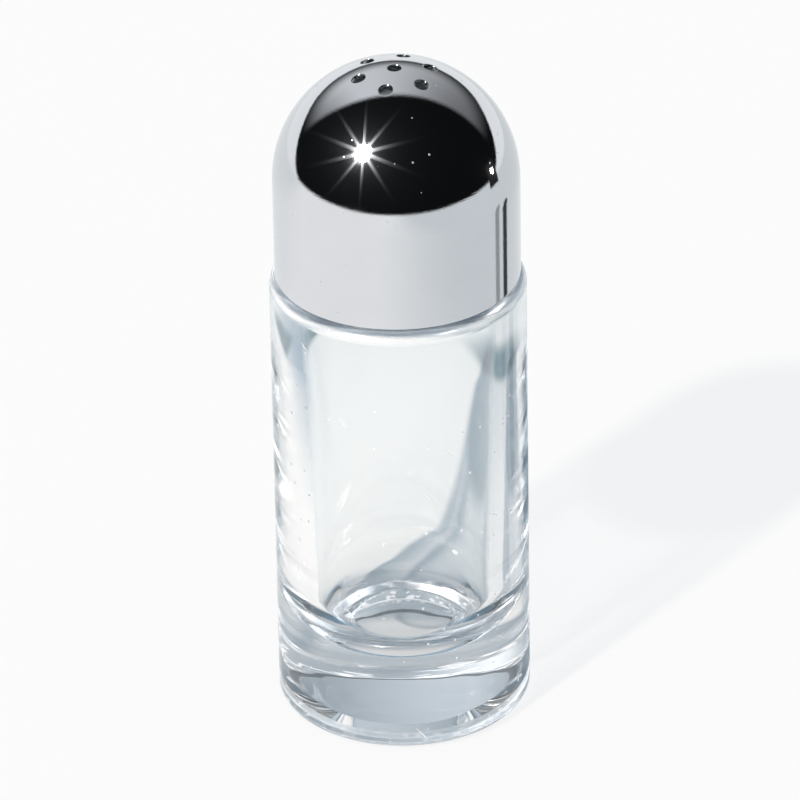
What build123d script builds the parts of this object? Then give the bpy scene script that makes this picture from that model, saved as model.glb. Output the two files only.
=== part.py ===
from build123d import *
from math import cos, radians, sin
import os

# Glass table shaker with a screw-on steel dome. Millimetres, Z up, axis on Z, standing on Z = 0.
os.makedirs("parts", exist_ok=True)

# Glass jar
jar_radius = 17.0        # outside of the body
jar_height = 64.0        # table to the shoulder that the cap comes down on
wall_at_shoulder = 4.3   # side wall at the top of the cavity
wall_at_floor = 5.3      # side wall where it starts to run in, thicker by the mould's draft
floor_thickness = 11.0   # heavy base
floor_radius = 7.2       # flat cavity floor, out to the edge where the wall meets it
floor_round = 0.8        # round along that edge
bowl_top = 19.0          # height at which the cavity wall starts to run in
bowl_turn = 70.0         # degrees the wall goes round its oval before it meets the floor
heel_round = 1.6         # outside round at the table
bearing_width = 3.2      # flat ring the jar stands on
recess_slope_width = 3.1 # run of the slope from the bearing ring into the underside recess
recess_depth = 1.2       # depth of the underside recess
recess_round = 0.4       # rounds along the recess slope
shoulder_round = 1.6     # outside round of the shoulder
shoulder_depth = 9.0     # height over which the cavity narrows to the neck
mouth_round = 0.8        # round where the narrowing cavity meets the neck bore
mouth_drop = 1.5         # that round's lowest point, below the shoulder
neck_wall = 1.8
neck_root_round = 0.6    # inside corner between shoulder and neck

# Screw thread, on the glass and in the liner
thread_pitch = 4.2
thread_height = 0.8      # ridge height, glass and liner alike
glass_ridge_foot = 2.0   # ridge width at its foot and at its crest
glass_ridge_crest = 1.0
liner_ridge_foot = 1.8
liner_ridge_crest = 0.9
ridge_root_sink = 0.25   # how far a ridge's foot runs into the wall that carries it
thread_start = 2.2       # first ridge centre above the shoulder
thread_runout = 1.9      # bare neck above the last ridge centre
crest_clearance = 0.3    # radial, ridge crest to the facing wall
flank_clearance = 0.15   # axial, between the flanks that carry the cap

# Steel dome cap
sheet = 0.6              # steel thickness
cap_inset = 0.75         # shoulder left showing outside the skirt
cap_gap = 0.1            # skirt edge above the glass shoulder
skirt_height = 14.0      # straight part of the cap
hem_height = 1.3         # edge folded inwards, two sheets thick
pour_hole_radius = 0.9
pour_circle_radius = 4.85
pour_circle_count = 6
pour_circle_start = 16.0 # degrees from +X to the first hole of the circle

# Threaded liner and sealing ring
liner_fit = 0.03         # radial, liner inside the steel skirt
liner_wall = 1.32        # liner wall behind its ridges
liner_seat_gap = 0.05    # liner above the folded hem
liner_top_drop = 1.8     # liner top below the spring of the dome
liner_flange = 1.2       # inward flange that presses on the sealing ring
seal_thickness = 1.0
seal_gap = 0.05          # sealing ring to flange, and to the neck's lip
seal_bore_clearance = 0.2
seal_edge_clearance = 0.2

# Cap and liner, from the jar's outside inwards
cap_radius = jar_radius - cap_inset
cap_inner_radius = cap_radius - sheet
cap_bottom = jar_height + cap_gap
dome_centre = cap_bottom + skirt_height
dome_top = dome_centre + cap_radius
hem_inner_radius = cap_radius - 2 * sheet
liner_radius = cap_inner_radius - liner_fit
liner_bore_radius = liner_radius - liner_wall
liner_bottom = cap_bottom + hem_height + liner_seat_gap
liner_top = dome_centre - liner_top_drop
flange_underside = liner_top - liner_flange

# Neck, inside the liner
ridge_crest_radius = liner_bore_radius - crest_clearance
neck_radius = ridge_crest_radius - thread_height
neck_bore_radius = neck_radius - neck_wall
neck_lip_round = neck_wall / 2
seal_top = flange_underside - seal_gap
seal_bottom = seal_top - seal_thickness
neck_top = seal_bottom - seal_gap

# Cavity
cavity_radius_top = jar_radius - wall_at_shoulder
cavity_radius_floor = jar_radius - wall_at_floor
bowl_width = (cavity_radius_floor - floor_radius) / (1 - cos(radians(bowl_turn)))
bowl_height = (bowl_top - floor_thickness) / sin(radians(bowl_turn))
mouth_bottom = jar_height - mouth_drop
mouth_round_radius = neck_bore_radius + mouth_round
cavity_wall_top = mouth_bottom - shoulder_depth

# Underside
bearing_outer_radius = jar_radius - heel_round
bearing_inner_radius = bearing_outer_radius - bearing_width
recess_radius = bearing_inner_radius - recess_slope_width

# Thread helices. The liner's ridge lies under the glass ridge and bears up against it.
glass_thread_bottom = jar_height + thread_start
glass_thread_rise = neck_top - thread_runout - glass_thread_bottom
ridge_spacing = (glass_ridge_foot + liner_ridge_crest) / 2 + flank_clearance
liner_thread_bottom = liner_bottom + liner_ridge_foot / 2 + flank_clearance
liner_thread_rise = flange_underside - liner_ridge_foot - liner_thread_bottom
liner_thread_lead = liner_thread_bottom + ridge_spacing - glass_thread_bottom
liner_thread_angle = 360.0 * liner_thread_lead / thread_pitch


def thread_ridge(wall_radius, height_sign, foot_width, crest_width, bottom, rise, start_angle):
    """Ridge swept along a right-hand helix that starts at height bottom, foot sunk into its wall."""
    foot = wall_radius - height_sign * ridge_root_sink
    crest = wall_radius + height_sign * thread_height
    corners = [
        (foot, -foot_width / 2),
        (wall_radius, -foot_width / 2),
        (crest, -crest_width / 2),
        (crest, crest_width / 2),
        (wall_radius, foot_width / 2),
        (foot, foot_width / 2),
    ]
    with BuildPart() as ridge:
        with BuildLine(Plane.XY.offset(bottom)) as path:
            Helix(pitch=thread_pitch, height=rise, radius=wall_radius)
        with BuildSketch(Plane(origin=(0, 0, bottom), x_dir=(1, 0, 0), z_dir=(0, -1, 0))):
            with BuildLine():
                Polyline(*corners, close=True)
            make_face()
        sweep(path=path.line, is_frenet=True)
    return ridge.part.rotate(Axis.Z, start_angle)


glass_ridge = thread_ridge(
    neck_radius, 1, glass_ridge_foot, glass_ridge_crest, glass_thread_bottom, glass_thread_rise, 0
)
liner_ridge = thread_ridge(
    liner_bore_radius,
    -1,
    liner_ridge_foot,
    liner_ridge_crest,
    liner_thread_bottom,
    liner_thread_rise,
    liner_thread_angle,
)

# Glass jar: body, heavy base with a recessed underside, and the threaded neck inside the cap
with BuildPart() as glass_jar:
    with BuildSketch(Plane.XZ):
        with BuildLine():
            underside = FilletPolyline(
                (0, recess_depth),
                (recess_radius, recess_depth),
                (bearing_inner_radius, 0),
                (bearing_outer_radius, 0),
                radius=recess_round,
            )
            heel = CenterArc((bearing_outer_radius, heel_round), heel_round, -90, 90)
            side = Line(heel @ 1, (jar_radius, jar_height - shoulder_round))
            shoulder_centre = (jar_radius - shoulder_round, jar_height - shoulder_round)
            shoulder = CenterArc(shoulder_centre, shoulder_round, 0, 90)
            ledge = Line(shoulder @ 1, (neck_radius + neck_root_round, jar_height))
            root_centre = (neck_radius + neck_root_round, jar_height + neck_root_round)
            root = CenterArc(root_centre, neck_root_round, -90, -90)
            neck_side = Line(root @ 1, (neck_radius, neck_top - neck_lip_round))
            lip_centre = (neck_radius - neck_lip_round, neck_top - neck_lip_round)
            lip = CenterArc(lip_centre, neck_lip_round, 0, 180)
            bore = Line(lip @ 1, (neck_bore_radius, mouth_bottom + mouth_round))
            mouth_centre = (mouth_round_radius, mouth_bottom + mouth_round)
            mouth = CenterArc(mouth_centre, mouth_round, 180, 90)
            narrowing = EllipticalCenterArc(
                (mouth_round_radius, cavity_wall_top),
                cavity_radius_top - mouth_round_radius,
                shoulder_depth,
                start_angle=0,
                arc_size=90,
            )
            wall = Line((cavity_radius_top, cavity_wall_top), (cavity_radius_floor, bowl_top))
            bowl = EllipticalCenterArc(
                (cavity_radius_floor - bowl_width, bowl_top),
                bowl_width,
                bowl_height,
                start_angle=0,
                arc_size=-bowl_turn,
            )
            floor = Line(bowl @ 1, (0, floor_thickness))
            axis_line = Line(floor @ 1, underside @ 0)
        make_face()
    revolve(axis=Axis.Z)
    floor_edges = glass_jar.edges().filter_by(GeomType.CIRCLE).filter_by_position(
        Axis.Z, floor_thickness - 0.01, floor_thickness + 0.01
    )
    fillet(floor_edges, radius=floor_round)
    add(glass_ridge)
glass_jar.part.label = "glass_jar"

# Steel dome cap: straight skirt with its edge folded inwards, half-sphere top and pour holes
with BuildPart() as dome_cap:
    with BuildSketch(Plane.XZ):
        with BuildLine():
            fold = CenterArc((cap_inner_radius, cap_bottom + sheet), sheet, 180, 180)
            skirt = Line(fold @ 1, (cap_radius, dome_centre))
            dome = CenterArc((0, dome_centre), cap_radius, 0, 90)
            crown = Line(dome @ 1, (0, dome_top - sheet))
            inner_dome = CenterArc((0, dome_centre), cap_inner_radius, 90, -90)
            inner_skirt = Line(inner_dome @ 1, (cap_inner_radius, cap_bottom + hem_height))
            hem_top = Line(inner_skirt @ 1, (hem_inner_radius, cap_bottom + hem_height))
            hem_side = Line(hem_top @ 1, fold @ 0)
        make_face()
    revolve(axis=Axis.Z)
    with BuildSketch(Plane.XY.offset(dome_top)):
        Circle(pour_hole_radius)
        with PolarLocations(pour_circle_radius, pour_circle_count, start_angle=pour_circle_start):
            Circle(pour_hole_radius)
    extrude(amount=-cap_radius, mode=Mode.SUBTRACT)
dome_cap.part.label = "dome_cap"

# Threaded plastic liner, held in the steel skirt above its folded edge
with BuildPart() as threaded_liner:
    with BuildSketch(Plane.XZ):
        with BuildLine():
            liner_corners = [
                (liner_bore_radius, liner_bottom),
                (liner_radius, liner_bottom),
                (liner_radius, liner_top),
                (neck_bore_radius, liner_top),
                (neck_bore_radius, flange_underside),
                (liner_bore_radius, flange_underside),
            ]
            Polyline(*liner_corners, close=True)
        make_face()
    revolve(axis=Axis.Z)
    add(liner_ridge)
threaded_liner.part.label = "threaded_liner"

# Sealing ring between the neck's lip and the liner's flange
with BuildPart() as sealing_ring:
    with BuildSketch(Plane.XY.offset(seal_bottom)):
        Circle(liner_bore_radius - seal_edge_clearance)
        Circle(neck_bore_radius + seal_bore_clearance, mode=Mode.SUBTRACT)
    extrude(amount=seal_thickness)
sealing_ring.part.label = "sealing_ring"

for piece in (glass_jar, dome_cap, threaded_liner, sealing_ring):
    export_step(piece.part, f"parts/{piece.part.label}.step")
    print(piece.part.label, round(piece.part.volume, 1), piece.part.bounding_box())
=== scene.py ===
from math import acos, ceil, cos, degrees, hypot, radians, sin, sqrt, tan, tau

import bmesh
import bpy
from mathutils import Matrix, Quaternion, Vector
from mathutils.geometry import delaunay_2d_cdt


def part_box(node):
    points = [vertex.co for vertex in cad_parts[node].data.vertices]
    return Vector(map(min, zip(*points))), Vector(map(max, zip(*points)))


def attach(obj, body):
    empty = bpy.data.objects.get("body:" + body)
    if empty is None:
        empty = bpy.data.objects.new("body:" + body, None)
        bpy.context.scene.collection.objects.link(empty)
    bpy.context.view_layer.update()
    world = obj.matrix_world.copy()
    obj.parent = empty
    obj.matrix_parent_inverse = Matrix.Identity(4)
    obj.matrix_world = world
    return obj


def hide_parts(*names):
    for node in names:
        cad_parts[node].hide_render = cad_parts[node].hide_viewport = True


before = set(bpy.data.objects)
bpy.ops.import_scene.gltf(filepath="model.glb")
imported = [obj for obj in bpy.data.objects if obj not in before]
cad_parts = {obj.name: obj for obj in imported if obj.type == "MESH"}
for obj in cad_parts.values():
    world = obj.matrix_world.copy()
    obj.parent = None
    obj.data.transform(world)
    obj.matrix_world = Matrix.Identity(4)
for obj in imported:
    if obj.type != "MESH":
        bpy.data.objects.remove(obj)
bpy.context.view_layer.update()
print("frame loaded:", ", ".join(sorted(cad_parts)))

# Sizes are written in millimetres and scaled to metres when a mesh is made. The camera's place, the
# distance of a bump and the reach of the glow inside the plastic are in metres. Angles and the widths
# of lamps are in degrees. A name that ends in Span holds where a gradual change starts and ends. A name
# that ends in Size or Cell, in a material, is how finely its pattern repeats, per metre.
mm = 0.001
nearly = 1e-4                # points closer than this count as one


def boxOf(node):
    low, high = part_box(node)
    return low / mm, high / mm


jarHigh = boxOf("glass_jar")[1]
capLow, capHigh = boxOf("dome_cap")
linerLow, linerHigh = boxOf("threaded_liner")
sealLow, sealHigh = boxOf("sealing_ring")


def addObject(name, data):
    added = bpy.data.objects.new(name, data)
    bpy.context.scene.collection.objects.link(added)
    return added


# An outline is a list of ((radius, height), (along, up)) pairs: a point and the direction of travel
# there. It runs with the material on its left, so the surface always faces to the right.

def line(start, end, steps=1):
    direction = Vector((end[0] - start[0], end[1] - start[1])).normalized()
    points = []
    for i in range(steps + 1):
        share = i / steps
        point = (start[0] + (end[0] - start[0]) * share, start[1] + (end[1] - start[1]) * share)
        points.append((point, tuple(direction)))
    return points


def arc(centre, radius, start, end, steps, tall=None):
    # angles in degrees from straight outward; tall is the radius along the height of an oval arc
    tall = tall or radius
    way = 1 if end > start else -1
    points = []
    for i in range(steps + 1):
        angle = radians(start + (end - start) * i / steps)
        point = (centre[0] + radius * cos(angle), centre[1] + tall * sin(angle))
        direction = Vector((-radius * sin(angle) * way, tall * cos(angle) * way)).normalized()
        points.append((point, tuple(direction)))
    return points


def roundCorner(before, corner, after, radius, steps):
    # arc that touches the two straight runs on either side of a corner
    corner = Vector(corner)
    inward = (Vector(before) - corner).normalized()
    outward = (Vector(after) - corner).normalized()
    half = inward.angle(outward) / 2
    centre = corner + (inward + outward).normalized() * radius / sin(half)
    first = (corner + inward * radius / tan(half) - centre).normalized()
    last = (corner + outward * radius / tan(half) - centre).normalized()
    points = []
    for i in range(steps + 1):
        share = i / steps
        spoke = first.slerp(last, share).normalized()
        direction = (-inward).slerp(outward, share).normalized()
        points.append((tuple(centre + spoke * radius), tuple(direction)))
    return points


def joinOutline(*stretches):
    # one outline from several; where two meet, the shared point is kept once
    outline = []
    for stretch in stretches:
        for point, direction in stretch:
            if outline and hypot(point[0] - outline[-1][0][0], point[1] - outline[-1][0][1]) < nearly:
                blended = (Vector(outline[-1][1]) + Vector(direction)).normalized()
                outline[-1] = (outline[-1][0], tuple(blended))
            else:
                outline.append((point, direction))
    return outline


def smooth(low, high, value):
    share = min(1.0, max(0.0, (value - low) / (high - low)))
    return share * share * (3 - 2 * share)


class Shape:
    # vertices, faces and surface directions of one piece while it is being made
    def __init__(self):
        self.points = []
        self.normals = []
        self.faces = []

    def addPoint(self, point, normal=(0.0, 0.0, 0.0)):
        self.points.append(point)
        self.normals.append(normal)
        return len(self.points) - 1

    def spin(self, outline, segments, lift=None):
        # one ring of vertices for each outline point; lift(radius, height, angle) moves a vertex
        # outwards, and with None as the angle it says whether it moves that ring at all
        rings = []
        for (radius, height), (along, up) in outline:
            if radius < nearly:
                rings.append([self.addPoint((0.0, 0.0, height), (0.0, 0.0, -along))])
                continue
            ring = []
            for i in range(segments):
                angle = tau * i / segments
                out = lift(radius, height, angle) if lift else 0.0
                normal = (up * cos(angle), up * sin(angle), -along)
                if lift and lift(radius, height, None):
                    normal = (0.0, 0.0, 0.0)
                reach = radius + out
                ring.append(self.addPoint((reach * cos(angle), reach * sin(angle), height), normal))
            rings.append(ring)
        return rings

    def bridge(self, lower, upper):
        count = max(len(lower), len(upper))
        for i in range(count):
            j = (i + 1) % count
            if len(lower) == 1:
                self.faces.append((lower[0], upper[j], upper[i]))
            elif len(upper) == 1:
                self.faces.append((lower[i], lower[j], upper[0]))
            else:
                self.faces.append((lower[i], lower[j], upper[j], upper[i]))

    def bridgeAll(self, rings, closed=False):
        for lower, upper in zip(rings, rings[1:]):
            self.bridge(lower, upper)
        if closed:
            self.bridge(rings[-1], rings[0])

    def make(self, name):
        mesh = bpy.data.meshes.new(name)
        mesh.from_pydata([(x * mm, y * mm, z * mm) for x, y, z in self.points], [], self.faces)
        mesh.shade_smooth()
        mesh.normals_split_custom_set_from_vertices(self.normals)
        piece = addObject(name, mesh)
        print("made", name, "with", len(self.faces), "faces")
        return piece


def ridgeHeight(thread, height, angle):
    # how far a screw thread's ridge stands out of its wall at this height and angle
    turnsRound = (angle - radians(thread["startAngle"])) / tau
    turnsUp = (height - thread["startHeight"]) / thread["pitch"]
    along = turnsRound + round(turnsUp - turnsRound)
    across = abs(turnsUp - along) * thread["pitch"] / (thread["footWidth"] / 2)
    total = thread["rise"] / thread["pitch"]
    fade = smooth(0.0, thread["runIn"], along) * (1 - smooth(total - thread["runIn"], total, along))
    return thread["height"] * fade * (1 - smooth(thread["crestShare"], 1.0, across))


# Materials

class Nodes:
    # short way to write a node tree
    def __init__(self, tree):
        self.tree = tree

    def feed(self, slot, value):
        if isinstance(value, bpy.types.NodeSocket):
            self.tree.links.new(value, slot)
        elif isinstance(value, tuple) and slot.type == "RGBA":
            slot.default_value = (*value, 1.0)
        elif value is not None:
            slot.default_value = value

    def add(self, kind, inputs=None, **settings):
        node = self.tree.nodes.new(kind)
        for key, value in settings.items():
            setattr(node, key, value)
        for key, value in (inputs or {}).items():
            self.feed(node.inputs[key], value)
        return node

    def maths(self, operation, first, second=None):
        node = self.add("ShaderNodeMath", operation=operation)
        self.feed(node.inputs[0], first)
        self.feed(node.inputs[1], second)
        return node.outputs[0]

    def times(self, first, *others):
        for other in others:
            first = self.maths("MULTIPLY", first, other)
        return first

    def most(self, first, *others):
        # the largest of several values
        for other in others:
            first = self.maths("MAXIMUM", first, other)
        return first

    def apart(self, first, second):
        return self.maths("ABSOLUTE", self.maths("SUBTRACT", first, second))

    def inMillimetres(self, place):
        inputs = {0: place, "Scale": 1 / mm}
        scaled = self.add("ShaderNodeVectorMath", inputs, operation="SCALE").outputs["Vector"]
        return self.add("ShaderNodeSeparateXYZ", {"Vector": scaled}).outputs

    def reach(self, x, y):
        # distance from the axis
        return self.maths("SQRT", self.maths("ADD", self.times(x, x), self.times(y, y)))

    def ramp(self, value, low, high, toLow=0.0, toHigh=1.0):
        inputs = {"Value": value, "From Min": low, "From Max": high, "To Min": toLow, "To Max": toHigh}
        return self.add("ShaderNodeMapRange", inputs, interpolation_type="SMOOTHSTEP").outputs[0]

    def fall(self, value, low, high):
        return self.ramp(value, low, high, 1.0, 0.0)

    def band(self, value, rise, full, fade, gone):
        return self.times(self.ramp(value, rise, full), self.fall(value, fade, gone))

    def mixColour(self, factor, first, second):
        # the Mix node has its two colours at 6 and 7 and the mixed colour at 2
        node = self.add("ShaderNodeMix", data_type="RGBA")
        self.feed(node.inputs[0], factor)
        self.feed(node.inputs[6], first)
        self.feed(node.inputs[7], second)
        return node.outputs[2]

    def noise(self, vector, scale, detail=2.0, roughness=0.5):
        inputs = {"Vector": vector, "Scale": scale, "Detail": detail, "Roughness": roughness}
        return self.add("ShaderNodeTexNoise", inputs).outputs["Fac"]

    def mapped(self, vector, scale=(1.0, 1.0, 1.0), rotation=(0.0, 0.0, 0.0)):
        inputs = {"Vector": vector, "Scale": scale, "Rotation": rotation}
        return self.add("ShaderNodeMapping", inputs).outputs[0]

    def cells(self, vector, scale):
        # the outputs of a scatter of cells: the distance to the middle of one, and its own random colour
        return self.add("ShaderNodeTexVoronoi", {"Vector": vector, "Scale": scale}).outputs

    def picked(self, cells):
        # a random number between 0 and 1 for each cell
        return self.add("ShaderNodeSeparateColor", {"Color": cells["Color"]}).outputs[0]

    def bump(self, height, strength, distance, normal=None):
        inputs = {"Height": height, "Strength": strength, "Distance": distance}
        if normal:
            inputs["Normal"] = normal
        return self.add("ShaderNodeBump", inputs).outputs[0]


def newMaterial(name):
    material = bpy.data.materials.new(name)
    material.use_nodes = True
    nodes = Nodes(material.node_tree)
    shader = material.node_tree.nodes["Principled BSDF"]
    output = material.node_tree.nodes["Material Output"]
    place = nodes.add("ShaderNodeTexCoord").outputs["Object"]
    return material, nodes, shader, output, place


glassLook = {
    "refraction": 1.52,
    "tint": (0.975, 0.988, 0.992),
    "edgeTint": (0.74, 0.84, 0.90),        # the blue of thick glass seen edge on
    "edgeTintSpan": (0.55, 0.97),
    "shadowMiddle": (0.88, 0.89, 0.90),    # how much light each face lets through to the table
    "shadowEdge": (0.45, 0.47, 0.50),
    "shadowEdgeSpan": (0.35, 0.80),
    "waveSize": 70.0,                      # the faint unevenness of a pressed wall, drawn out upwards
    "waveDepth": 0.06,
    "waveScale": (1.0, 1.0, 0.45),
    "rippleSize": 300.0,                   # flow marks in the heavy base, drawn out sideways
    "rippleDepth": 0.12,
    "rippleScale": (0.35, 0.35, 1.0),
    "rippleHeightSpan": (9.0, 12.0),
    "bumpDistance": 0.001,
    "ledgeHeightSpan": (62.2, 63.0),       # the shoulder outside the cap is a little duller
    "ledgeReachSpan": (14.8, 15.2),
    "ledgeDull": 0.20,
    "ledgeWear": 0.30,
    "seamShadeTint": (0.30, 0.36, 0.42),        # painted shade in the groove under the cap's edge
    "seamShadeReachSpan": (16.3, 16.8),
    # white of the marks, and of the painted highlight along the ring's inner edge
    "markAndHighlightColour": (1.0, 1.0, 1.0),
    "markDull": 0.6,
    "markWear": 0.55,
    "markDepthSpan": (-2.0, 2.0),          # marks show on the front half of the outer wall
    "markReachSpan": (16.0, 16.5),
    "speckCell": 330.0,                    # specks of spilled powder
    "speckSpan": (0.0525, 0.075),
    "scratchCell": (60.0, 150.0, 700.0),   # hair scratches down to the right
    "scratchSpan": (0.048, 0.08),
    "scratchSlant": -50.0,
    "ringShadeTint": (0.22, 0.29, 0.35),        # the scuffed ring that the jar stands on; its dark blue is painted shade
    "ringDull": 0.3,
    "ringWear": 0.6,
    "ringHeightSpan": (0.0, 1.0),
    "ringReachSpan": (10.8, 11.1),
    "ringEdge": 12.2,                      # a painted highlight along its inner edge
    "ringEdgeSpan": (0.1, 0.3),
    "ringDepthSpan": (-8.0, 4.0),          # its painted highlight edge and its flecks are fainter in front
    "ringInFront": 0.35,
    "fleckCell": 1300.0,
    "fleckSpan": (0.78, 0.83),
    "recessShadeTint": (0.07, 0.09, 0.11),      # painted shade: a dark line along the back of the underside's recess
    "recessShadeCover": 0.85,
    "recessReach": 8.9,
    "recessReachSpan": (0.3, 0.6),
    "recessHeightSpan": (1.6, 1.8),
    "recessDepthSpan": (-1.0, 3.0),
}


def wallMarks(nodes, place, fromAxis, y):
    # 1 on a speck or a scratch, 0 on clear glass
    specks = nodes.fall(nodes.cells(place, glassLook["speckCell"])["Distance"], *glassLook["speckSpan"])
    turned = nodes.mapped(place, rotation=(0.0, radians(glassLook["scratchSlant"]), 0.0))
    drawnOut = nodes.mapped(turned, scale=glassLook["scratchCell"])
    scratches = nodes.fall(nodes.cells(drawnOut, 1.0)["Distance"], *glassLook["scratchSpan"])
    inFront = nodes.fall(y, *glassLook["markDepthSpan"])
    onWall = nodes.ramp(fromAxis, *glassLook["markReachSpan"])
    return nodes.times(nodes.most(specks, scratches), inFront, onWall)


def ringFlecksAndHighlight(nodes, place, fromAxis, y):
    # 1 on a fleck and on a painted highlight along the ring's inner edge
    chosen = nodes.picked(nodes.cells(place, glassLook["fleckCell"]))
    flecks = nodes.ramp(chosen, *glassLook["fleckSpan"])
    edge = nodes.fall(nodes.apart(fromAxis, glassLook["ringEdge"]), *glassLook["ringEdgeSpan"])
    shown = nodes.ramp(y, *glassLook["ringDepthSpan"], glassLook["ringInFront"])
    return nodes.times(nodes.most(flecks, edge), shown)


def recessShadeLine(nodes, fromAxis, y, height):
    # 1 along the back half of the round where the recess turns flat, for a painted dark line
    near = nodes.fall(nodes.apart(fromAxis, glassLook["recessReach"]), *glassLook["recessReachSpan"])
    below = nodes.fall(height, *glassLook["recessHeightSpan"])
    return nodes.times(near, below, nodes.ramp(y, *glassLook["recessDepthSpan"]))


def glassMaterial():
    material, nodes, shader, output, place = newMaterial("jarGlass")
    shader.inputs["IOR"].default_value = glassLook["refraction"]
    facing = nodes.add("ShaderNodeLayerWeight", {"Blend": 0.5}).outputs["Facing"]
    x, y, height = nodes.inMillimetres(place)
    fromAxis = nodes.reach(x, y)
    high = nodes.ramp(height, *glassLook["ledgeHeightSpan"])
    ledge = nodes.times(high, nodes.ramp(fromAxis, *glassLook["ledgeReachSpan"]))
    # the seam mask darkens the glass in the groove under the cap's edge with painted shade
    seam = nodes.times(ledge, nodes.fall(fromAxis, *glassLook["seamShadeReachSpan"]))
    # the ring mask carries real scuffing and a painted shade tint
    low = nodes.fall(height, *glassLook["ringHeightSpan"])
    ring = nodes.times(low, nodes.ramp(fromAxis, *glassLook["ringReachSpan"]))
    recess = recessShadeLine(nodes, fromAxis, y, height)
    # flecks here also holds the painted highlight along the ring's inner edge
    flecks = nodes.times(ring, ringFlecksAndHighlight(nodes, place, fromAxis, y))
    marksAndHighlight = nodes.most(wallMarks(nodes, place, fromAxis, y), flecks)
    edgeOn = nodes.ramp(facing, *glassLook["edgeTintSpan"])
    tint = nodes.mixColour(edgeOn, glassLook["tint"], glassLook["edgeTint"])
    # the seam, ring and recess tints are painted shade, and the marks' white includes a painted highlight
    tints = [(seam, "seamShadeTint"), (ring, "ringShadeTint"), (recess, "recessShadeTint"), (marksAndHighlight, "markAndHighlightColour")]
    for share, name in tints:
        tint = nodes.mixColour(share, tint, glassLook[name])
    nodes.feed(shader.inputs["Base Color"], tint)
    dull = [(ledge, "ledgeDull"), (ring, "ringDull"), (marksAndHighlight, "markDull")]
    dull = nodes.most(*[nodes.times(share, glassLook[name]) for share, name in dull])
    nodes.feed(shader.inputs["Roughness"], dull)
    wearAndShade = [(marksAndHighlight, "markWear"), (ledge, "ledgeWear"), (ring, "ringWear"), (recess, "recessShadeCover")]
    wearAndShade = nodes.most(*[nodes.times(share, glassLook[name]) for share, name in wearAndShade])
    nodes.feed(shader.inputs["Transmission Weight"], nodes.maths("SUBTRACT", 1.0, wearAndShade))
    upwards = nodes.mapped(place, glassLook["waveScale"])
    waves = nodes.noise(upwards, glassLook["waveSize"], detail=1.0)
    wavy = nodes.bump(waves, glassLook["waveDepth"], glassLook["bumpDistance"])
    sideways = nodes.mapped(place, glassLook["rippleScale"])
    ripples = nodes.noise(sideways, glassLook["rippleSize"], detail=1.0)
    ripples = nodes.times(ripples, nodes.fall(height, *glassLook["rippleHeightSpan"]))
    uneven = nodes.bump(ripples, glassLook["rippleDepth"], glassLook["bumpDistance"], wavy)
    nodes.feed(shader.inputs["Normal"], uneven)
    # light on its way to the table goes straight through the glass, weaker where the glass is edge on
    edge = nodes.ramp(facing, *glassLook["shadowEdgeSpan"])
    through = nodes.mixColour(edge, glassLook["shadowMiddle"], glassLook["shadowEdge"])
    clear = nodes.add("ShaderNodeBsdfTransparent", {"Color": through}).outputs[0]
    rays = nodes.add("ShaderNodeLightPath").outputs
    straight = nodes.most(rays["Is Shadow Ray"], rays["Is Diffuse Ray"])
    blended = nodes.add("ShaderNodeMixShader", {0: straight, 1: shader.outputs[0], 2: clear}).outputs[0]
    nodes.feed(output.inputs["Surface"], blended)
    return material


steelLook = {
    "colour": (0.725, 0.745, 0.775),
    "smudgeColour": (0.67425, 0.69285, 0.72075),
    "polish": 0.03,
    "smudgeDull": 0.08,
    "smudgeSize": 160.0,       # broad smudges left by wiping
    "smudgeSpan": (0.45, 0.75),
    "grainSize": 2600.0,
    "grainDepth": 0.012,
    "latheSize": 5200.0,       # fine lines left by polishing on a lathe
    "latheDepth": 0.02,
    "bumpDistance": 0.0002,
    "dustColour": (0.96, 0.96, 0.95),
    "dustDull": 0.5,
    "dustCell": 900.0,         # specks of dust and spilled powder
    "dustShareSpan": (0.82, 0.86),
    "dustSpan": (0.09, 0.16),
}


def steelMaterial():
    material, nodes, shader, output, place = newMaterial("capSteel")
    cells = nodes.cells(place, steelLook["dustCell"])
    chosen = nodes.ramp(nodes.picked(cells), *steelLook["dustShareSpan"])
    speck = nodes.times(chosen, nodes.fall(cells["Distance"], *steelLook["dustSpan"]))
    nodes.feed(shader.inputs["Metallic"], nodes.maths("SUBTRACT", 1.0, speck))
    smudge = nodes.noise(place, steelLook["smudgeSize"], detail=5.0, roughness=0.6)
    polish = nodes.ramp(smudge, *steelLook["smudgeSpan"], steelLook["polish"], steelLook["smudgeDull"])
    roughness = nodes.maths("ADD", polish, nodes.times(speck, steelLook["dustDull"]))
    nodes.feed(shader.inputs["Roughness"], roughness)
    tone = nodes.mixColour(smudge, steelLook["colour"], steelLook["smudgeColour"])
    nodes.feed(shader.inputs["Base Color"], nodes.mixColour(speck, tone, steelLook["dustColour"]))
    x, y, z = nodes.add("ShaderNodeSeparateXYZ", {"Vector": place}).outputs
    turned = nodes.add("ShaderNodeCombineXYZ", {"X": nodes.reach(x, y), "Y": z}).outputs[0]
    grain = nodes.noise(place, steelLook["grainSize"])
    ground = nodes.bump(grain, steelLook["grainDepth"], steelLook["bumpDistance"])
    lines = nodes.noise(turned, steelLook["latheSize"], detail=3.0, roughness=0.7)
    polished = nodes.bump(lines, steelLook["latheDepth"], steelLook["bumpDistance"], ground)
    nodes.feed(shader.inputs["Normal"], polished)
    return material


linerLook = {
    "colour": (0.83, 0.83, 0.81),
    "shade": (0.74, 0.74, 0.72),
    "flowSize": 90.0,          # how the plastic flowed in the mould
    "flowScale": (1.0, 1.0, 3.0),
    "flowSpan": (0.3, 0.7),
    "roughness": (0.38, 0.52),
    "poreSize": 3200.0,
    "poreDepth": 0.08,
    "bumpDistance": 0.0002,
    "glowWeight": 0.15,        # light that soaks into the plastic
    "glowRadius": (0.0012, 0.0012, 0.0011),
}


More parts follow.
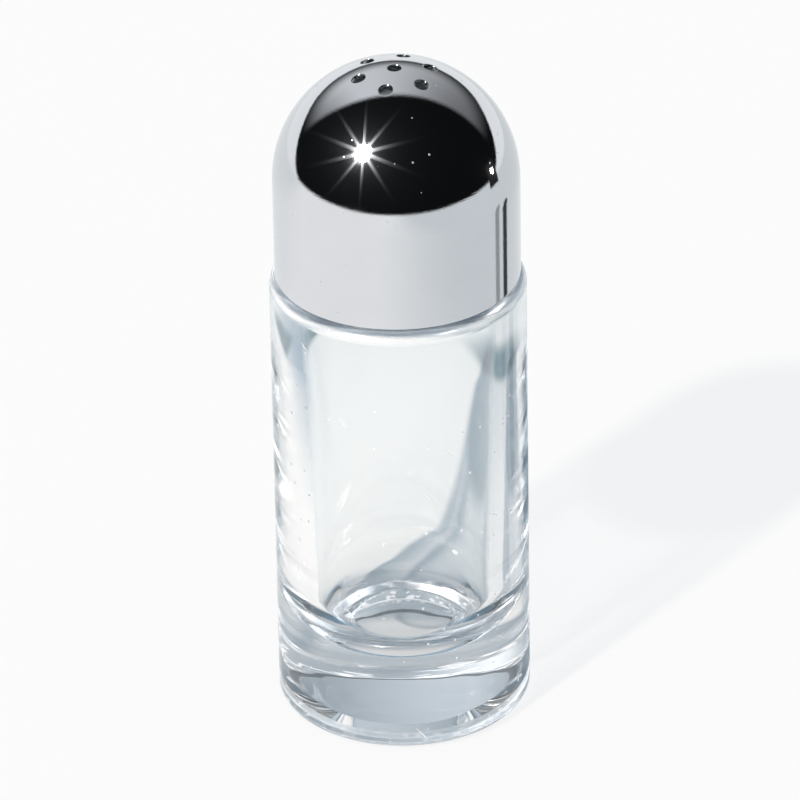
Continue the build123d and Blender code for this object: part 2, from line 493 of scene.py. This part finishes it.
def linerMaterial():
    material, nodes, shader, output, place = newMaterial("linerPlastic")
    shader.inputs["Subsurface Weight"].default_value = linerLook["glowWeight"]
    shader.inputs["Subsurface Radius"].default_value = linerLook["glowRadius"]
    flow = nodes.noise(nodes.mapped(place, linerLook["flowScale"]), linerLook["flowSize"], detail=4.0)
    tone = nodes.mixColour(flow, linerLook["colour"], linerLook["shade"])
    nodes.feed(shader.inputs["Base Color"], tone)
    roughness = nodes.ramp(flow, *linerLook["flowSpan"], *linerLook["roughness"])
    nodes.feed(shader.inputs["Roughness"], roughness)
    pores = nodes.noise(place, linerLook["poreSize"])
    porous = nodes.bump(pores, linerLook["poreDepth"], linerLook["bumpDistance"])
    nodes.feed(shader.inputs["Normal"], porous)
    return material


sealLook = {
    "colour": (0.58, 0.57, 0.54),
    "shade": (0.46, 0.45, 0.42),
    "cloudSize": 240.0,
    "cloudSpan": (0.3, 0.7),
    "roughness": (0.62, 0.75),
    "skinSize": 5200.0,
    "skinDepth": 0.2,
    "bumpDistance": 0.0002,
}


def sealMaterial():
    material, nodes, shader, output, place = newMaterial("sealSilicone")
    cloud = nodes.noise(place, sealLook["cloudSize"], detail=5.0, roughness=0.6)
    tone = nodes.mixColour(cloud, sealLook["colour"], sealLook["shade"])
    nodes.feed(shader.inputs["Base Color"], tone)
    roughness = nodes.ramp(cloud, *sealLook["cloudSpan"], *sealLook["roughness"])
    nodes.feed(shader.inputs["Roughness"], roughness)
    skin = nodes.noise(place, sealLook["skinSize"])
    matt = nodes.bump(skin, sealLook["skinDepth"], sealLook["bumpDistance"])
    nodes.feed(shader.inputs["Normal"], matt)
    return material


def dress(piece, material, body, slot, *nodesReplaced):
    piece.data.materials.append(material)
    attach(piece, body)
    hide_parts(*nodesReplaced)
    return piece


# Glass jar

capGap = 0.1                   # cap's edge above the shoulder
jar = {
    "radius": jarHigh.x,
    "shoulderHeight": capLow.z - capGap,
    "shoulderRound": 1.6,
    "wallAtShoulder": 4.3,
    "wallAtFloor": 5.3,
    "floorThickness": 11.0,
    "bowlTop": 19.0,           # where the side wall starts to run in towards the floor
    "bowlEnd": 70.0,           # how far round its oval the wall runs before it meets the floor, degrees
    "bowlOverlap": 0.05,
    "floorEdge": 7.2,
    "floorRound": 0.8,
    "narrowingDepth": 9.0,
    "mouthDrop": 1.5,
    "mouthRound": 0.8,
    "neckTop": 74.0,
    "neckRadius": 13.2,
    "neckWall": 1.8,
    "neckRootRound": 0.6,
    "neckRowStep": 0.12,
    "heelRound": 1.6,
    "bearingWidth": 3.2,
    "recessSlope": 3.1,
    "recessDepth": 1.2,
    "recessRound": 0.4,
    "segments": 256,
}
jarThread = {
    "startAngle": 0.0,
    "startHeight": 66.2,
    "rise": 5.9,
    "pitch": 4.2,
    "footWidth": 2.0,
    "crestShare": 0.3,
    "height": 0.8,
    "runIn": 0.09,
}


def jarOutline():
    radius, shoulder = jar["radius"], jar["shoulderHeight"]
    heel, top = jar["heelRound"], jar["shoulderRound"]
    bearingOuter = radius - heel
    bearingInner = bearingOuter - jar["bearingWidth"]
    recessEdge = bearingInner - jar["recessSlope"]
    depth = jar["recessDepth"]
    recess = [(0.0, depth), (recessEdge, depth), (bearingInner, 0.0), (bearingOuter, 0.0)]
    neck, root = jar["neckRadius"], jar["neckRootRound"]
    lip = jar["neckWall"] / 2
    bore = neck - jar["neckWall"]
    mouthLow = shoulder - jar["mouthDrop"]
    mouthRadius = bore + jar["mouthRound"]
    wallTop = radius - jar["wallAtShoulder"]
    wallFoot = radius - jar["wallAtFloor"]
    cavityTop = mouthLow - jar["narrowingDepth"]
    floorTop, bowlTop, bowlEnd = jar["floorThickness"], jar["bowlTop"], jar["bowlEnd"]
    bowlWide = (wallFoot - jar["floorEdge"]) / (1 - cos(radians(bowlEnd)))
    bowlTall = (bowlTop - floorTop) / sin(radians(bowlEnd))
    bowl = arc((wallFoot - bowlWide, bowlTop), bowlWide, 0, -bowlEnd, steps=40, tall=bowlTall)
    meeting, heading = bowl[-1]
    before = (meeting[0] - heading[0], meeting[1] - heading[1])
    floorRound = roundCorner(before, meeting, (0.0, floorTop), jar["floorRound"], steps=8)
    bowl = [spot for spot in bowl if spot[0][1] > floorRound[0][0][1] + jar["bowlOverlap"]]
    rows = ceil((jar["neckTop"] - lip - shoulder - root) / jar["neckRowStep"])
    innerEdge = roundCorner(recess[0], recess[1], recess[2], jar["recessRound"], steps=6)
    outerEdge = roundCorner(recess[1], recess[2], recess[3], jar["recessRound"], steps=6)
    return joinOutline(
        line(recess[0], innerEdge[0][0], steps=8),
        innerEdge,
        line(innerEdge[-1][0], outerEdge[0][0], steps=4),
        outerEdge,
        line(outerEdge[-1][0], recess[3], steps=3),
        arc((bearingOuter, heel), heel, -90, 0, steps=16),
        line((radius, heel), (radius, shoulder - top), steps=12),
        arc((radius - top, shoulder - top), top, 0, 90, steps=16),
        line((radius - top, shoulder), (neck + root, shoulder), steps=3),
        arc((neck + root, shoulder + root), root, -90, -180, steps=8),
        line((neck, shoulder + root), (neck, jar["neckTop"] - lip), steps=rows),
        arc((neck - lip, jar["neckTop"] - lip), lip, 0, 180, steps=20),
        line((bore, jar["neckTop"] - lip), (bore, mouthLow + jar["mouthRound"]), steps=6),
        arc((mouthRadius, mouthLow + jar["mouthRound"]), jar["mouthRound"], 180, 270, steps=8),
        arc((mouthRadius, cavityTop), wallTop - mouthRadius, 90, 0, steps=40, tall=jar["narrowingDepth"]),
        line((wallTop, cavityTop), (wallFoot, bowlTop), steps=12),
        bowl,
        floorRound,
        line(floorRound[-1][0], (0.0, floorTop), steps=10),
    )


def jarLift(radius, height, angle):
    # the thread stands out of the neck's outer wall only
    low, high = jar["shoulderHeight"] + jar["neckRootRound"], jar["neckTop"] - jar["neckWall"] / 2
    onNeck = abs(radius - jar["neckRadius"]) < nearly and low < height < high
    if angle is None:
        return onNeck
    return ridgeHeight(jarThread, height, angle) if onNeck else 0.0


jarShape = Shape()
jarShape.bridgeAll(jarShape.spin(jarOutline(), jar["segments"], jarLift))
glassJar = dress(jarShape.make("glassJar"), glassMaterial(), "jar", "jar_glass", "glass_jar")


# Steel dome cap

cap = {
    "radius": capHigh.x,
    "bottom": capLow.z,
    "sheet": 0.6,
    "skirtHeight": 14.0,
    "hemHeight": 1.3,
    "hemRound": 0.25,
    "seamDepth": 0.2,          # groove between the folded edge and the skirt
    "seamLean": 0.06,
    "holeRadius": 0.9,
    "holeCircle": 4.85,
    "holeCount": 6,
    "holeStart": 16.0,
    "holeEdge": 0.12,          # round of a pressed hole's outer edge
    "holeBurr": 0.05,
    "holeSides": 40,
    "holeRings": (30, 50, 70, 90),  # the rings of points along that round, in degrees
    "holeMargins": (0.1, 0.28),     # and those outside it
    "crownRadius": 8.4,        # reach of the finer crown mesh that holds the pour holes
    "crownSpacing": 0.4,
    "crownInset": 0.24,        # its first row inside the rim
    "crownMiddle": 0.3,
    "crownClearance": 0.2,     # its rows keep this far from the rings round a hole
    "domeRows": 44,
    "segments": 192,
}
domeCentre = cap["bottom"] + cap["skirtHeight"]


def capOutline():
    radius, sheet, bottom = cap["radius"], cap["sheet"], cap["bottom"]
    inner, hemInner = radius - sheet, radius - 2 * sheet
    hemTop, hemRound = bottom + cap["hemHeight"], cap["hemRound"]
    outerAngle = degrees(acos(cap["crownRadius"] / radius))
    innerAngle = degrees(acos(cap["crownRadius"] / inner))
    seam = (inner, hemTop - cap["seamDepth"])
    return joinOutline(
        arc((0.0, domeCentre), inner, innerAngle, 0, steps=cap["domeRows"]),
        line((inner, domeCentre), seam, steps=8),
        line(seam, (inner - cap["seamLean"], hemTop - hemRound)),
        arc((hemInner + hemRound, hemTop - hemRound), hemRound, 60, 180, steps=6),
        line((hemInner, hemTop - hemRound), (hemInner, bottom + sheet), steps=2),
        arc((inner, bottom + sheet), sheet, 180, 360, steps=20),
        line((radius, bottom + sheet), (radius, domeCentre), steps=8),
        arc((0.0, domeCentre), radius, 0, outerAngle, steps=cap["domeRows"]),
    )


def pourHoles():
    holes = [(0.0, 0.0)]
    for i in range(cap["holeCount"]):
        angle = radians(cap["holeStart"]) + tau * i / cap["holeCount"]
        holes.append((cap["holeCircle"] * cos(angle), cap["holeCircle"] * sin(angle)))
    return holes


def crownSurface(x, y, radius, edge):
    # height and facing of the crown at a point, with the holes' edges rounded over
    height = sqrt(radius * radius - x * x - y * y)
    facing = Vector((x, y, height)).normalized()
    if radius < cap["radius"]:
        facing = -facing
    for holeX, holeY in pourHoles():
        away = hypot(x - holeX, y - holeY)
        if away < cap["holeRadius"] + edge - nearly:
            lean = max(0.0, min(1.0, 1 - (away - cap["holeRadius"]) / edge))
            drop = edge * (1 - sqrt(1 - lean * lean))
            height -= drop if radius == cap["radius"] else -drop
            inward = Vector((holeX - x, holeY - y, 0.0)).normalized()
            facing = (inward * lean + facing * sqrt(1 - lean * lean)).normalized()
    return domeCentre + height, tuple(facing)


def crownLayout():
    # flat layout of the crown: its rim, rings round each hole and rows of points between them
    rim = [Vector((cos(tau * i / cap["segments"]), sin(tau * i / cap["segments"]))) * cap["crownRadius"]
           for i in range(cap["segments"])]
    spots, edges = list(rim), [(i, (i + 1) % len(rim)) for i in range(len(rim))]
    sides, edge, hole = cap["holeSides"], cap["holeEdge"], cap["holeRadius"]
    ringReach = [hole] + [hole + edge * (1 - cos(radians(turn))) for turn in cap["holeRings"]]
    ringReach += [hole + edge + margin for margin in cap["holeMargins"]]
    holeRings = []
    for holeX, holeY in pourHoles():
        first = len(spots)
        holeRings.append(range(first, first + sides))
        edges += [(first + i, first + (i + 1) % sides) for i in range(sides)]
        for step, reach in enumerate(ringReach):
            # every other ring is turned by half a side
            for i in range(sides):
                angle = tau * (i + 0.5 * (step % 2)) / sides
                spots.append(Vector((holeX + reach * cos(angle), holeY + reach * sin(angle))))
    reach = cap["crownRadius"] - cap["crownInset"]
    while reach > cap["crownMiddle"]:
        count = ceil(tau * reach / cap["crownSpacing"])
        for i in range(count):
            spot = Vector((reach * cos(tau * i / count), reach * sin(tau * i / count)))
            away = min((spot - Vector(middle)).length for middle in pourHoles())
            if away > ringReach[-1] + cap["crownClearance"]:
                spots.append(spot)
        reach -= cap["crownSpacing"]
    return spots, edges, holeRings


capShape = Shape()
capRings = capShape.spin(capOutline(), cap["segments"])
capShape.bridgeAll(capRings)
spots, edges, holeRings = crownLayout()
flat, _, triangles, origins, _, _ = delaunay_2d_cdt(spots, edges, [], 0, 0.1 * nearly)
holeOf = {spot: number for number, ring in enumerate(holeRings) for spot in ring}
sheets = []
outside = (cap["radius"], cap["holeEdge"], capRings[-1])
inside = (cap["radius"] - cap["sheet"], cap["holeBurr"], capRings[0])
for radius, edge, rim in (outside, inside):
    places = []
    for spot, origin in zip(flat, origins):
        if origin[0] < len(rim):
            places.append(rim[origin[0]])
        else:
            height, facing = crownSurface(spot.x, spot.y, radius, edge)
            places.append(capShape.addPoint((spot.x, spot.y, height), facing))
    sheets.append(places)
for triangle in triangles:
    inHole = [holeOf.get(origins[corner][0]) for corner in triangle]
    if inHole[0] is not None and inHole[0] == inHole[1] == inHole[2]:
        continue
    capShape.faces.append(tuple(sheets[0][corner] for corner in triangle))
    capShape.faces.append(tuple(sheets[1][corner] for corner in reversed(triangle)))
placeOf = {origin[0]: number for number, origin in enumerate(origins)}
for ring in holeRings:
    outer = [sheets[0][placeOf[spot]] for spot in ring]
    inner = [sheets[1][placeOf[spot]] for spot in ring]
    for i in range(len(outer)):
        j = (i + 1) % len(outer)
        capShape.faces.append((outer[i], outer[j], inner[j], inner[i]))
domeCap = dress(capShape.make("domeCap"), steelMaterial(), "cap", "cap_steel", "dome_cap")


# Threaded plastic liner

liner = {
    "radius": linerHigh.x,
    "bottom": linerLow.z,
    "top": linerHigh.z,
    "wall": 1.32,
    "flange": 1.2,
    "flangeBore": 11.4,
    "edgeRound": 0.2,
    "rowStep": 0.12,
    "segments": 192,
}
linerThread = {
    "startAngle": 162.86,
    "startHeight": 66.5,
    "rise": 6.8,
    "pitch": 4.2,
    "footWidth": 1.8,
    "crestShare": 0.3,
    "height": 0.8,
    "runIn": 0.09,
}


def linerOutline():
    radius, bottom, top, soft = liner["radius"], liner["bottom"], liner["top"], liner["edgeRound"]
    bore, flangeLow, flangeBore = radius - liner["wall"], top - liner["flange"], liner["flangeBore"]
    rows = ceil((flangeLow - soft - bottom) / liner["rowStep"])
    return joinOutline(
        arc((bore + soft, bottom + soft), soft, 180, 270, steps=5),
        arc((radius - soft, bottom + soft), soft, 270, 360, steps=5),
        arc((radius - soft, top - soft), soft, 0, 90, steps=5),
        arc((flangeBore + soft, top - soft), soft, 90, 180, steps=5),
        arc((flangeBore + soft, flangeLow + soft), soft, 180, 270, steps=5),
        line((flangeBore + soft, flangeLow), (bore - soft, flangeLow), steps=3),
        arc((bore - soft, flangeLow - soft), soft, 90, 0, steps=5),
        line((bore, flangeLow - soft), (bore, bottom + soft), steps=rows)[:-1],
    )


def linerLift(radius, height, angle):
    bore = liner["radius"] - liner["wall"]
    low, high = liner["bottom"] + liner["edgeRound"], liner["top"] - liner["flange"]
    onBore = abs(radius - bore) < nearly and low < height < high
    if angle is None:
        return onBore
    return -ridgeHeight(linerThread, height, angle) if onBore else 0.0


linerShape = Shape()
linerShape.bridgeAll(linerShape.spin(linerOutline(), liner["segments"], linerLift), closed=True)
dress(linerShape.make("threadedLiner"), linerMaterial(), "cap", "liner_plastic", "threaded_liner")


# Sealing ring

seal = {
    "radius": sealHigh.x,
    "bottom": sealLow.z,
    "top": sealHigh.z,
    "bore": 11.6,
    "edgeRound": 0.22,
    "segments": 160,
}


def sealOutline():
    radius, bore, soft = seal["radius"], seal["bore"], seal["edgeRound"]
    low, high = seal["bottom"] + soft, seal["top"] - soft
    return joinOutline(
        arc((bore + soft, low), soft, 180, 270, steps=5),
        arc((radius - soft, low), soft, 270, 360, steps=5),
        arc((radius - soft, high), soft, 0, 90, steps=5),
        arc((bore + soft, high), soft, 90, 180, steps=5),
    )


sealShape = Shape()
sealShape.bridgeAll(sealShape.spin(sealOutline(), seal["segments"]), closed=True)
dress(sealShape.make("sealingRing"), sealMaterial(), "seal", "seal_silicone", "sealing_ring")


# Table, room and lights

table = {
    "radius": 720.0,
    "sides": 96,
    "gap": 0.2,                  # how far it lies below the jar
    "colour": (0.92, 0.92, 0.915),
    "cloudColour": (0.9108, 0.9108, 0.90585),
    "cloudSize": 30.0,
    "roughness": 0.9,
    "dimShadeTint": (0.68, 0.715, 0.73),  # painted shade on the side away from the lamp, as the polished cap shows the table
    "dimRightSpan": (-60.0, 140.0),
    "dimBackSpan": (0.0, 160.0),
    "dimBack": 0.6,
    "footShadowTint": (0.22, 0.31, 0.39),  # painted shadow on the table under and close round the jar, seen only through the glass
    "footShade": 0.62,
    "footInnerSpan": (6.0, 11.0),
    "footOuterSpan": (18.0, 23.0),
    "sideShadeTint": (0.30, 0.40, 0.49),  # bluer painted shade on the table to either side, seen only through the glass
    "sideSpan": (45.0, 95.0),
    "sideDepthSpan": (-60.0, 60.0),
    "sideInFront": 0.35,
    "patchShadowTint": (0.20, 0.28, 0.32),
    "patchSlant": 0.8,
    "paleColour": (0.965, 0.967, 0.97),
    "paleShare": 0.86,           # how much of the cast shadow is lifted where the table is seen directly
}
# two painted shadows on the table behind the shaker, to the right and the left, that only the glass
# gathers; across is the distance towards that side, measured on a slant
paintedShadowPatches = [
    {"side": 1.0, "across": (102.0, 112.0, 135.0, 165.0), "behind": (20.0, 35.0, 80.0, 110.0)},
    {"side": -1.0, "across": (124.0, 136.0, 150.0, 180.0), "behind": (70.0, 82.0, 110.0, 140.0)},
]


def tableMaterial():
    material, nodes, shader, output, place = newMaterial("tableTop")
    shader.inputs["Roughness"].default_value = table["roughness"]
    shader.inputs["Specular IOR Level"].default_value = 0.0
    x, y, z = nodes.inMillimetres(place)
    fromAxis = nodes.reach(x, y)
    rays = nodes.add("ShaderNodeLightPath").outputs
    side = nodes.ramp(nodes.maths("ABSOLUTE", x), *table["sideSpan"])
    side = nodes.times(side, nodes.ramp(y, *table["sideDepthSpan"], table["sideInFront"]))
    footShadow = nodes.ramp(fromAxis, *table["footOuterSpan"], table["footShade"], 0.0)
    footShadow = nodes.times(footShadow, nodes.ramp(fromAxis, *table["footInnerSpan"]))
    dimRight = nodes.ramp(x, *table["dimRightSpan"])
    dimBack = nodes.ramp(y, *table["dimBackSpan"], 0.0, table["dimBack"])
    patches = []
    for patch in paintedShadowPatches:
        slanted = nodes.maths("ADD", nodes.times(x, patch["side"]), nodes.times(y, table["patchSlant"]))
        across = nodes.band(slanted, *patch["across"])
        patches.append(nodes.times(across, nodes.band(y, *patch["behind"])))
    # the patches also reach the eye by rays that the steel turned back into the glass
    throughGlass = nodes.maths("MINIMUM", rays["Transmission Depth"], 1.0)
    # painted shade and shadow that only the glass and the polished cap show
    tints = [
        (nodes.times(side, rays["Is Transmission Ray"]), "sideShadeTint"),
        (nodes.times(footShadow, rays["Is Transmission Ray"]), "footShadowTint"),
        (nodes.times(nodes.most(dimRight, dimBack), rays["Is Glossy Ray"]), "dimShadeTint"),
        (nodes.times(nodes.most(*patches), throughGlass), "patchShadowTint"),
    ]
    cloud = nodes.noise(place, table["cloudSize"], detail=3.0)
    surface = nodes.mixColour(cloud, table["colour"], table["cloudColour"])
    for share, name in tints:
        surface = nodes.mixColour(share, surface, table[name])
    nodes.feed(shader.inputs["Base Color"], surface)
    pale = nodes.add("ShaderNodeEmission", {"Color": table["paleColour"]}).outputs[0]
    share = nodes.times(rays["Is Camera Ray"], table["paleShare"])
    blended = nodes.add("ShaderNodeMixShader", {0: share, 1: shader.outputs[0], 2: pale}).outputs[0]
    nodes.feed(output.inputs["Surface"], blended)
    return material


def makeTable():
    radius, sides = table["radius"] * mm, table["sides"]
    points = [(0.0, 0.0, 0.0)]
    for i in range(sides):
        angle = tau * i / sides
        points.append((radius * cos(angle), radius * sin(angle), 0.0))
    mesh = bpy.data.meshes.new("table")
    mesh.from_pydata(points, [], [(0, 1 + i, 1 + (i + 1) % sides) for i in range(sides)])
    mesh.materials.append(tableMaterial())
    top = addObject("table", mesh)
    top.location.z = -table["gap"] * mm


room = {
    "fill": (0.34, 0.43, 0.50),
    "pale": (0.965, 0.967, 0.97),
    "sweep": (0.95, 0.96, 0.97),
    "sweepFront": -0.11,         # how high the pale backdrop reaches in front and behind, as a sine
    "sweepBack": 0.19,
    "sweepSpan": (0.15, 0.75),
    "sweepEdgeSpan": (-0.02, 0.02),
    "dark": (0.004, 0.0045, 0.005),
    "glassDark": (0.10, 0.155, 0.20),
    "glassSky": (0.20, 0.46, 0.70),
    "skySpan": (0.78, 0.96),
    "panel": (0.74, 0.75, 0.77),
    "glassPanel": (0.56, 0.62, 0.68),
    "panelEdgeSpan": (0.32, 0.43),
    "panelFootSpan": (0.15, 0.5),
    "panelLeftSpan": (-0.9, -0.35),
    "panelRightSpan": (-0.35, 0.9),
    "panelDim": 0.2,             # its strength at the far ends of both sides
    "cutFrom": -0.35,            # how far left the cut in its lower left starts, and how steep it is
    "cutSlope": 0.35,
}


def makeRoom():
    # the cap and the glass find a dark room with a pale backdrop and one big panel, and the table
    # finds an even fill; x, y and z are how far a direction points right, back and up
    world = bpy.data.worlds.new("room")
    bpy.context.scene.world = world
    world.use_nodes = True
    nodes = Nodes(world.node_tree)
    background = world.node_tree.nodes["Background"]
    direction = nodes.add("ShaderNodeTexCoord").outputs["Generated"]
    x, y, z = nodes.add("ShaderNodeSeparateXYZ", {"Vector": direction}).outputs
    # the pale backdrop runs up behind the table
    sweepTop = nodes.ramp(y, *room["sweepSpan"], room["sweepFront"], room["sweepBack"])
    above = nodes.ramp(nodes.maths("SUBTRACT", z, sweepTop), *room["sweepEdgeSpan"])
    # one big panel overhead and behind, cut away to the left and dimmer to the right and at its foot
    leftwards = nodes.most(nodes.maths("SUBTRACT", room["cutFrom"], x), 0.0)
    slope = nodes.maths("SUBTRACT", room["cutSlope"], nodes.times(z, room["cutSlope"]))
    behind = nodes.maths("SUBTRACT", y, nodes.times(leftwards, slope))
    strength = nodes.times(
        nodes.ramp(x, *room["panelRightSpan"], 1.0, room["panelDim"]),
        nodes.ramp(x, *room["panelLeftSpan"], room["panelDim"], 1.0),
        nodes.ramp(z, *room["panelFootSpan"]),
        nodes.ramp(behind, *room["panelEdgeSpan"]),
    )
    rays = nodes.add("ShaderNodeLightPath").outputs
    inGlass = rays["Is Transmission Ray"]
    sky = nodes.mixColour(nodes.ramp(z, *room["skySpan"]), room["glassDark"], room["glassSky"])
    dark = nodes.mixColour(inGlass, room["dark"], sky)
    panel = nodes.mixColour(inGlass, room["panel"], room["glassPanel"])
    around = nodes.mixColour(above, room["sweep"], nodes.mixColour(strength, dark, panel))
    even = nodes.mixColour(rays["Is Camera Ray"], room["fill"], room["pale"])
    found = nodes.mixColour(nodes.most(rays["Is Glossy Ray"], inGlass), even, around)
    nodes.feed(background.inputs["Color"], found)
    # the room is looked up by the rays that reach it, never picked as a lamp
    world.cycles.sampling_method = "NONE"


neighbours = [                   # beside the shaker on its right, seen only as reflections
    {
        "name": "darkPost",
        "centre": (71.0, 25.0, 23.0),
        "size": (6.5, 6.5, 46.0),
        "colour": (0.05, 0.055, 0.06),
    },
    {
        "name": "greyPost",
        "centre": (76.0, 10.0, 23.0),
        "size": (6.0, 6.0, 46.0),
        "colour": (0.34, 0.36, 0.38),
    },
    {
        "name": "darkBlock",
        "centre": (81.0, 3.0, 79.0),
        "size": (2.0, 16.0, 22.0),
        "colour": (0.02, 0.02, 0.02),
    },
    {
        "name": "brightSpot",
        "centre": (79.0, 3.5, 81.0),
        "size": (1.0, 3.6, 3.6),
        "colour": (30.0, 28.0, 26.0),
    },
]


def makeNeighbours():
    for part in neighbours:
        form = bmesh.new()
        bmesh.ops.create_cube(form, size=1.0)
        for vert in form.verts:
            sides = zip(vert.co, part["size"], part["centre"])
            vert.co = [(side * length + middle) * mm for side, length, middle in sides]
        mesh = bpy.data.meshes.new(part["name"])
        form.to_mesh(mesh)
        form.free()
        material, nodes, shader, output, place = newMaterial(part["name"])
        glow = nodes.add("ShaderNodeEmission", {"Color": part["colour"]}).outputs[0]
        nodes.feed(output.inputs["Surface"], glow)
        mesh.materials.append(material)
        card = addObject(part["name"], mesh)
        card.visible_camera = False
        card.visible_diffuse = False
        card.visible_transmission = False
        card.visible_shadow = False


sunlight = {
    "azimuth": 38.0,             # degrees to the left of the camera
    "angleUp": 44.0,
    "power": 3.4,
    "width": 3.0,                # a wider lamp gives softer shadows
    "colour": (1.0, 0.87, 0.77),
}
flashlight = {
    "direction": (-0.495, -0.503, 0.709),
    "flashPower": 9.0,           # a broad flash that shows in the polished cap
    "flashWidth": 14.0,
    "corePower": 4.0,            # its hard middle
    "coreWidth": 1.2,
}
sparklight = {                   # small hard lamps that give the glass its sparkle
    "directions": [
        (-0.495, -0.503, 0.709),
        (0.55, -0.42, 0.72),
        (-0.25, 0.70, 0.67),
        (0.62, 0.40, 0.68),
    ],
    "power": 1.2,
    "width": 1.6,
}


def makeSun(name, direction, power, width, colour=(1.0, 1.0, 1.0)):
    data = bpy.data.lights.new(name, "SUN")
    data.energy = power
    data.angle = radians(width)
    data.color = colour
    lamp = addObject(name, data)
    lamp.rotation_mode = "QUATERNION"
    lamp.rotation_quaternion = Vector(direction).to_track_quat("Z", "Y")
    return lamp


def lightOnly(lamp, piece):
    # the lamp lights one piece, and shows only as a reflection on it
    lamp.visible_diffuse = False
    lamp.visible_transmission = False
    lit = bpy.data.collections.new(lamp.name + "Lights")
    lit.objects.link(piece)
    lamp.light_linking.receiver_collection = lit


def makeLights():
    azimuth, height = radians(sunlight["azimuth"]), radians(sunlight["angleUp"])
    towards = (-sin(azimuth) * cos(height), -cos(azimuth) * cos(height), sin(height))
    sun = makeSun("sun", towards, sunlight["power"], sunlight["width"], sunlight["colour"])
    sun.visible_glossy = False
    direction = flashlight["direction"]
    lightOnly(makeSun("flash", direction, flashlight["flashPower"], flashlight["flashWidth"]), domeCap)
    lightOnly(makeSun("flashCore", direction, flashlight["corePower"], flashlight["coreWidth"]), domeCap)
    for number, direction in enumerate(sparklight["directions"]):
        spark = makeSun(f"spark{number}", direction, sparklight["power"], sparklight["width"])
        lightOnly(spark, glassJar)


makeTable()
makeRoom()
makeLights()
makeNeighbours()
# enough bounces for light that runs along inside the glass walls
cycles = bpy.context.scene.cycles
cycles.max_bounces = 28
cycles.glossy_bounces = 20
cycles.transmission_bounces = 20
cycles.transparent_max_bounces = 20
print("table, room and lights are in place")


# Camera

view = {
    "elevation": 30.4,
    "roll": 0.98,
    "distance": 1.02,
    "aim": (0.0, 0.0, 0.0444),
    "lens": 345.3,
    "sensor": 36.0,
    "clipEnd": 100.0,
}
tilt = radians(view["elevation"])
back = Vector((0.0, -cos(tilt), sin(tilt)))
roll = Quaternion((0, 0, 1), -radians(view["roll"]))
camera = addObject("camera", bpy.data.cameras.new("camera"))
camera.location = Vector(view["aim"]) + back * view["distance"]
camera.rotation_mode = "QUATERNION"
camera.rotation_quaternion = back.to_track_quat("Z", "Y") @ roll
camera.data.lens = view["lens"]
camera.data.sensor_width = view["sensor"]
camera.data.clip_end = view["clipEnd"]
bpy.context.scene.camera = camera
bpy.context.scene.view_settings.view_transform = "Standard"

# the lens gives a very bright spot a glow and a star of fine rays
glare = {
    "glowFrom": 3.0,             # how bright a spot has to be before it glows
    "glowCap": 9.0,              # the brightness at which the glow stops growing
    "glow": 0.16,
    "glowSize": 0.35,
    "raysFrom": 250.0,
    "raysCap": 900.0,
    "rays": 10,
    "rayStrength": 0.035,
    "rayAngle": 14.0,
    "rayLength": 3,
    "rayFade": 0.87,
}


def makeGlare():
    scene = bpy.context.scene
    scene.use_nodes = True
    tree = scene.node_tree
    tree.nodes.clear()
    nodes = Nodes(tree)
    picture = nodes.add("CompositorNodeRLayers").outputs["Image"]
    glow = nodes.add("CompositorNodeGlare", glare_type="BLOOM", quality="HIGH")
    star = nodes.add("CompositorNodeGlare", glare_type="STREAKS", quality="HIGH")
    star.inputs["Threshold"].default_value = glare["raysFrom"]
    star.inputs["Maximum"].default_value = glare["raysCap"]
    glow.inputs["Threshold"].default_value = glare["glowFrom"]
    glow.inputs["Maximum"].default_value = glare["glowCap"]
    for node, strength in ((star, glare["rayStrength"]), (glow, glare["glow"])):
        nodes.feed(node.inputs["Image"], picture)
        node.inputs["Clamp"].default_value = True
        node.inputs["Strength"].default_value = strength
        picture = node.outputs["Image"]
    glow.inputs["Size"].default_value = glare["glowSize"]
    star.inputs["Streaks"].default_value = glare["rays"]
    star.inputs["Streaks Angle"].default_value = radians(glare["rayAngle"])
    star.inputs["Iterations"].default_value = glare["rayLength"]
    star.inputs["Fade"].default_value = glare["rayFade"]
    star.inputs["Color Modulation"].default_value = 0.0
    nodes.feed(nodes.add("CompositorNodeComposite").inputs["Image"], picture)


makeGlare()
print("camera and lens glare are in place")
